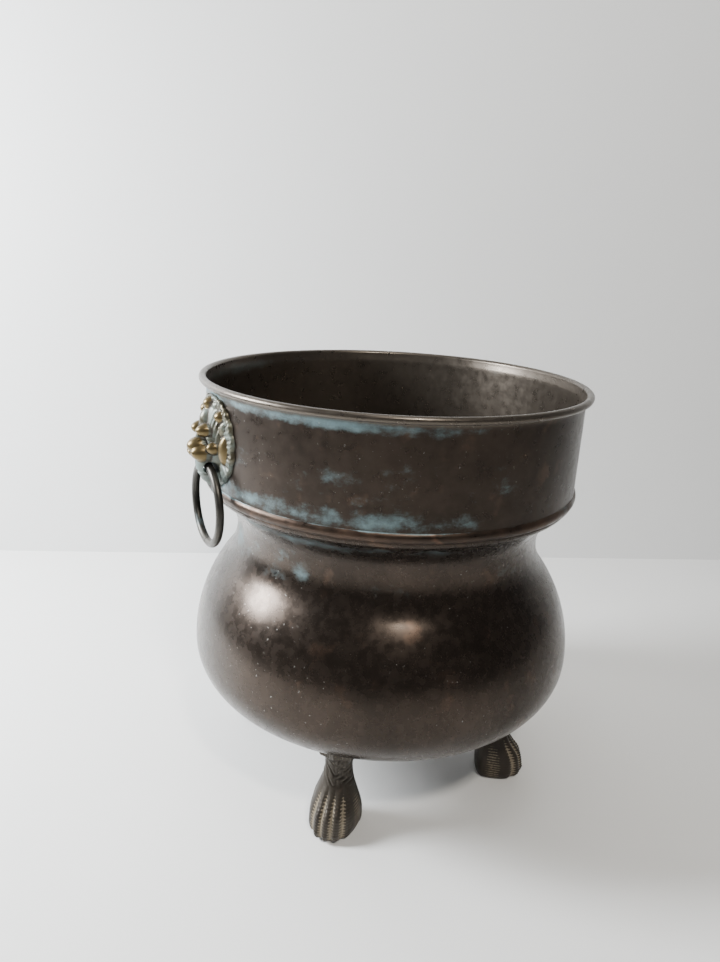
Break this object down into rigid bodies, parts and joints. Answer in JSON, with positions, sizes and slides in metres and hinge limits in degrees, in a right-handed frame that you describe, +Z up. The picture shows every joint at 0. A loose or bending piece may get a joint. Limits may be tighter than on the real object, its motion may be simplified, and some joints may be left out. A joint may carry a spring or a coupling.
{
  "type": "footed cauldron",
  "caption": "Open round-bellied copper cauldron with a straight collar, swinging ring handles held in lion masks, and cast paw feet.",
  "frame": {"origin": "centre of the bounding box's underside: on the floor under the vessel's axis", "axes": "+Z up along the vessel's axis of revolution; the ring handles are on the X axis; the feet are on the diagonals; -Y is the front"},
  "size_m": [0.287, 0.27, 0.29],
  "materials": {
    "bowl": "dark olive-brown patinated copper, satin gloss, lightly hammered",
    "collar": "dark patinated copper with verdigris streaks, satin gloss",
    "rim_wire": "plain drawn wire, hidden inside the rolled rim",
    "waist_bead": "dark patinated copper, rubbed at its crown",
    "mask_left": "cast brass, olive-gold high points, grey-green verdigris in the recesses",
    "mask_right": "cast brass, olive-gold high points, grey-green verdigris in the recesses",
    "mask_screws_left": "turned brass, dulled",
    "mask_screws_right": "turned brass, dulled",
    "mask_washers_left": "stamped brass, dulled",
    "mask_washers_right": "stamped brass, dulled",
    "ring_left": "dark patinated rod, rubbed on its outer side",
    "ring_right": "dark patinated rod, rubbed on its outer side",
    "foot_front_left": "cast metal, dark, sandy dust in the grooves",
    "foot_front_right": "cast metal, dark, sandy dust in the grooves",
    "foot_rear_left": "cast metal, dark, sandy dust in the grooves",
    "foot_rear_right": "cast metal, dark, sandy dust in the grooves",
    "foot_screws": "plain steel, dulled",
    "foot_washers": "plain steel, dulled"
  },
  "bodies": {
    "vessel": {"bowl": "bowl", "collar": "collar", "rim_wire": "rim_wire", "waist_bead": "waist_bead", "mask_left": "mask_left", "mask_right": "mask_right", "mask_screws_left": "mask_screws_left", "mask_screws_right": "mask_screws_right", "mask_washers_left": "mask_washers_left", "mask_washers_right": "mask_washers_right", "foot_front_left": "foot_front_left", "foot_front_right": "foot_front_right", "foot_rear_left": "foot_rear_left", "foot_rear_right": "foot_rear_right", "foot_screws": "foot_screws", "foot_washers": "foot_washers"},
    "handle_left": {"ring_left": "ring_left"},
    "handle_right": {"ring_right": "ring_right"}
  },
  "joints": [
    {"name": "ring_left_swing", "type": "hinge", "parent": "vessel", "child": "handle_left", "pos_m": [-0.1312, 0, 0.2395], "axis": [0, 1, 0], "range_deg": [-12, 150]},
    {"name": "ring_right_swing", "type": "hinge", "parent": "vessel", "child": "handle_right", "pos_m": [0.1312, 0, 0.2395], "axis": [0, -1, 0], "range_deg": [-12, 150]}
  ]
}
